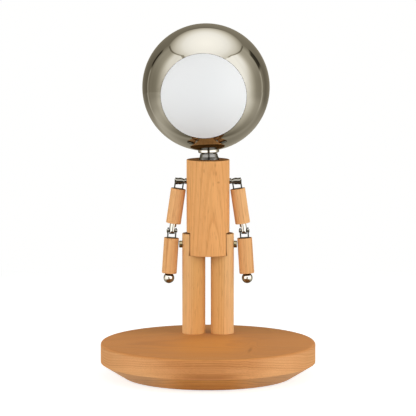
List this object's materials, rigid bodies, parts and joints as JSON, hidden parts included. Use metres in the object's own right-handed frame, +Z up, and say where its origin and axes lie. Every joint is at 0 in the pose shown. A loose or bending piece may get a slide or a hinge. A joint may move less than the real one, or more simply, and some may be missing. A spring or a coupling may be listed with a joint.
{
  "type": "desk lamp",
  "caption": "Desk lamp shaped like a small standing robot: a mirrored globe head with an opal window on a wooden body with hinged arms and a round wooden base.",
  "frame": {"origin": "centre of the round base, on the plane that the lamp stands on", "axes": "+Z up, -Y towards the front that the window faces, +X to the right of someone who faces the lamp"},
  "size_m": [0.25, 0.262, 0.4072],
  "materials": {
    "turned_wood": "clear satin varnish over straight-grained softwood, the base",
    "body_wood": "clear satin varnish over straight-grained softwood, legs and torso",
    "arm_wood": "clear satin varnish over straight-grained softwood, arms",
    "mirror_globe": "smoke-grey mirror plating on glass, highly polished",
    "opal_window": "opal white glass, satin",
    "polished_steel": "bright polished plating",
    "strip_steel": "bent steel strip, lightly polished",
    "nut_brass": "polished brass, slightly toned down",
    "zinc_steel": "bright zinc",
    "holder_ceramic": "white glazed ceramic",
    "bulb_white": "white moulded plastic",
    "bulb_clear": "frosted tube",
    "bush_black": "black moulded plastic",
    "felt_brown": "brown felt",
    "plate_board": "thin hardboard"
  },
  "bodies": {
    "stand": {"base_disc": "turned_wood", "felt_pad": "felt_brown", "pocket_plate": "plate_board", "plate_screws": "zinc_steel", "cord_bush": "bush_black", "leg_left": "body_wood", "leg_right": "body_wood", "torso_block": "body_wood", "hip_bolt": "zinc_steel", "hip_nut_left": "nut_brass", "hip_nut_right": "nut_brass", "shoulder_pin_left": "polished_steel", "shoulder_pin_right": "polished_steel", "neck_nipple": "zinc_steel", "neck_collar": "polished_steel", "lock_nut": "zinc_steel", "lamp_holder": "holder_ceramic", "bulb_body": "bulb_white", "bulb_tube": "bulb_clear"},
    "head": {"neck_ring": "polished_steel", "globe_nut": "zinc_steel", "globe_shell": "mirror_globe", "window_lens": "opal_window"},
    "left_upper_arm": {"upper_arm_left": "arm_wood", "shoulder_bracket_left": "strip_steel", "shoulder_sleeve_left": "polished_steel", "shoulder_screw_left": "zinc_steel", "elbow_tongue_left": "polished_steel"},
    "left_forearm": {"forearm_left": "arm_wood", "elbow_bracket_left": "strip_steel", "elbow_pin_left": "strip_steel", "elbow_screw_left": "zinc_steel", "hand_ball_left": "polished_steel"},
    "right_upper_arm": {"upper_arm_right": "arm_wood", "shoulder_bracket_right": "strip_steel", "shoulder_sleeve_right": "polished_steel", "shoulder_screw_right": "zinc_steel", "elbow_tongue_right": "polished_steel"},
    "right_forearm": {"forearm_right": "arm_wood", "elbow_bracket_right": "strip_steel", "elbow_pin_right": "strip_steel", "elbow_screw_right": "zinc_steel", "hand_ball_right": "polished_steel"}
  },
  "joints": [
    {"name": "head_swivel", "type": "hinge", "parent": "stand", "child": "head", "pos_m": [0.0011, 0.062, 0.247], "axis": [-0.041, 0, 0.9992], "continuous": true},
    {"name": "left_shoulder", "type": "hinge", "parent": "stand", "child": "left_upper_arm", "pos_m": [-0.03365, 0.062, 0.2213], "axis": [-1, 0, 0], "range_deg": [-95, 95]},
    {"name": "left_elbow", "type": "hinge", "parent": "left_upper_arm", "child": "left_forearm", "pos_m": [-0.0427, 0.062, 0.162], "axis": [-1, 0, 0], "range_deg": [-85, 85]},
    {"name": "right_shoulder", "type": "hinge", "parent": "stand", "child": "right_upper_arm", "pos_m": [0.03365, 0.062, 0.2213], "axis": [-1, 0, 0], "range_deg": [-95, 95]},
    {"name": "right_elbow", "type": "hinge", "parent": "right_upper_arm", "child": "right_forearm", "pos_m": [0.0427, 0.062, 0.162], "axis": [-1, 0, 0], "range_deg": [-85, 85]}
  ]
}
